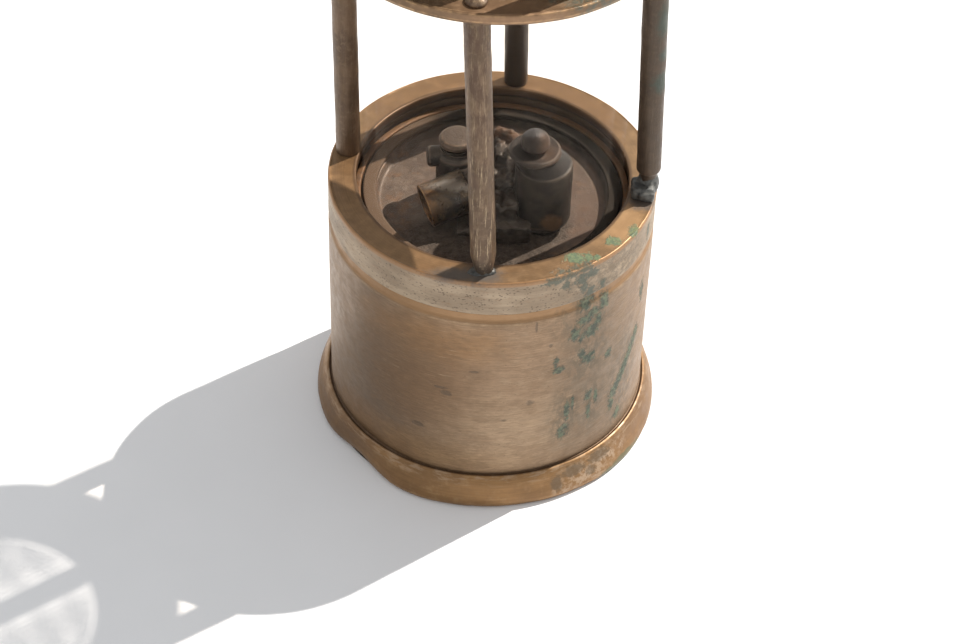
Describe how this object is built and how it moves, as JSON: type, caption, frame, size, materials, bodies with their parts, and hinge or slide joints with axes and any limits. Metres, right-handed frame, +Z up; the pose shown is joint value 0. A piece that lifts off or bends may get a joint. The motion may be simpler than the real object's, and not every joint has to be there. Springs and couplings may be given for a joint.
{
  "type": "miner's carbide safety lamp",
  "caption": "Brass acetylene safety lamp: water and carbide pot, glass in a screw-on guard frame, wire gauze, riveted hood and folding hook.",
  "frame": {"origin": "centre of the foot ring, on the ground", "axes": "+Z up along the lamp's axis; +X to the right and -Y towards the viewer of the side with the dented foot"},
  "size_m": [0.0886, 0.0886, 0.2662],
  "materials": {
    "pot_brass": "brushed, brown patina with verdigris streaks",
    "ring_brass": "rubbed bright on edges, dull in recesses",
    "foot_brass": "spun, warm brown, dented and rubbed",
    "deck_copper": "coppery, heat stained and sooty",
    "crown_brass": "dark patina with verdigris",
    "pillar_brass": "grey-brown patina with pale rubbed streaks",
    "burner_soot": "matt soot over brass",
    "cap_metal": "dull grey-brown",
    "solder": "dull grey solder",
    "tinplate": "tinned, slightly dull",
    "seal_rubber": "perished black rubber",
    "felt": "grey felt",
    "burner_ceramic": "unglazed steatite",
    "gauze_steel": "woven steel wire, oxidised",
    "hook_steel": "dark forged steel",
    "clear_glass": "clear, slightly dusty"
  },
  "bodies": {
    "pot": {"pot_wall": "pot_brass", "pot_foot": "foot_brass", "base_plate": "foot_brass", "deck_plate": "deck_copper", "water_tank": "tinplate", "drip_nozzle": "deck_copper", "gas_riser": "deck_copper", "carbide_cup": "tinplate", "carbide_sieve": "tinplate", "gas_filter_felt": "felt", "valve_boss": "burner_soot", "valve_gland": "burner_soot", "filler_neck": "burner_soot", "air_tube": "deck_copper", "burner_casting": "burner_soot", "burner_stem": "deck_copper", "burner_tip": "burner_ceramic", "gasket_lower": "seal_rubber", "glass_cylinder": "clear_glass"},
    "glass_seal": {"gasket_upper": "seal_rubber"},
    "guard_frame": {"guard_ring": "ring_brass", "pillar_left": "pillar_brass", "pillar_back": "pillar_brass", "pillar_right": "pillar_brass", "pillar_front": "pillar_brass", "solder_right": "solder", "solder_front": "solder", "crown_plate": "crown_brass", "gauze_flange": "ring_brass", "gauze_outer": "gauze_steel", "gauze_inner": "gauze_steel", "upper_rod_1": "pillar_brass", "upper_rod_2": "pillar_brass", "upper_rod_3": "pillar_brass", "upper_rod_4": "pillar_brass", "hood": "crown_brass"},
    "valve_needle": {"valve_needle": "tinplate"},
    "valve_knob": {"valve_knob": "cap_metal"},
    "filler_washer": {"filler_washer": "seal_rubber"},
    "filler_cap": {"filler_cap": "cap_metal"},
    "swivel": {"hook_swivel": "ring_brass", "hook_pin": "hook_steel"},
    "hook": {"hook": "hook_steel"}
  },
  "joints": [
    {"name": "frame_rise", "type": "slide", "parent": "pot", "child": "glass_seal", "axis": [0, 0, 1], "range_m": [0, 0.00501]},
    {"name": "frame_unscrew", "type": "hinge", "parent": "glass_seal", "child": "guard_frame", "pos_m": [0, 0, 0.07], "axis": [0, 0, 1], "range_deg": [0, 720]},
    {"name": "needle_rise", "type": "slide", "parent": "pot", "child": "valve_needle", "axis": [0, 0, 1], "range_m": [0, 0.0015]},
    {"name": "valve_turn", "type": "hinge", "parent": "valve_needle", "child": "valve_knob", "pos_m": [0.0099, -0.009, 0.091], "axis": [0, 0, 1], "range_deg": [0, 540]},
    {"name": "washer_rise", "type": "slide", "parent": "pot", "child": "filler_washer", "axis": [0, 0, 1], "range_m": [0, 0.003]},
    {"name": "filler_unscrew", "type": "hinge", "parent": "filler_washer", "child": "filler_cap", "pos_m": [-0.0089, 0.0015, 0.082], "axis": [0, 0, 1], "range_deg": [0, 720]},
    {"name": "hook_swivel_turn", "type": "hinge", "parent": "guard_frame", "child": "swivel", "pos_m": [-0.001, 0, 0.256], "axis": [0, 0, 1], "continuous": true},
    {"name": "hook_fold", "type": "hinge", "parent": "swivel", "child": "hook", "pos_m": [-0.001, 0, 0.262], "axis": [0, -1, 0], "range_deg": [0, 180]}
  ],
  "couplings": [
    {"joint": "frame_rise", "follows": "frame_unscrew", "m_per_rad": 0.00039789},
    {"joint": "valve_turn", "follows": "needle_rise", "rad_per_m": 6283.2},
    {"joint": "filler_unscrew", "follows": "washer_rise", "rad_per_m": 4188.8}
  ]
}
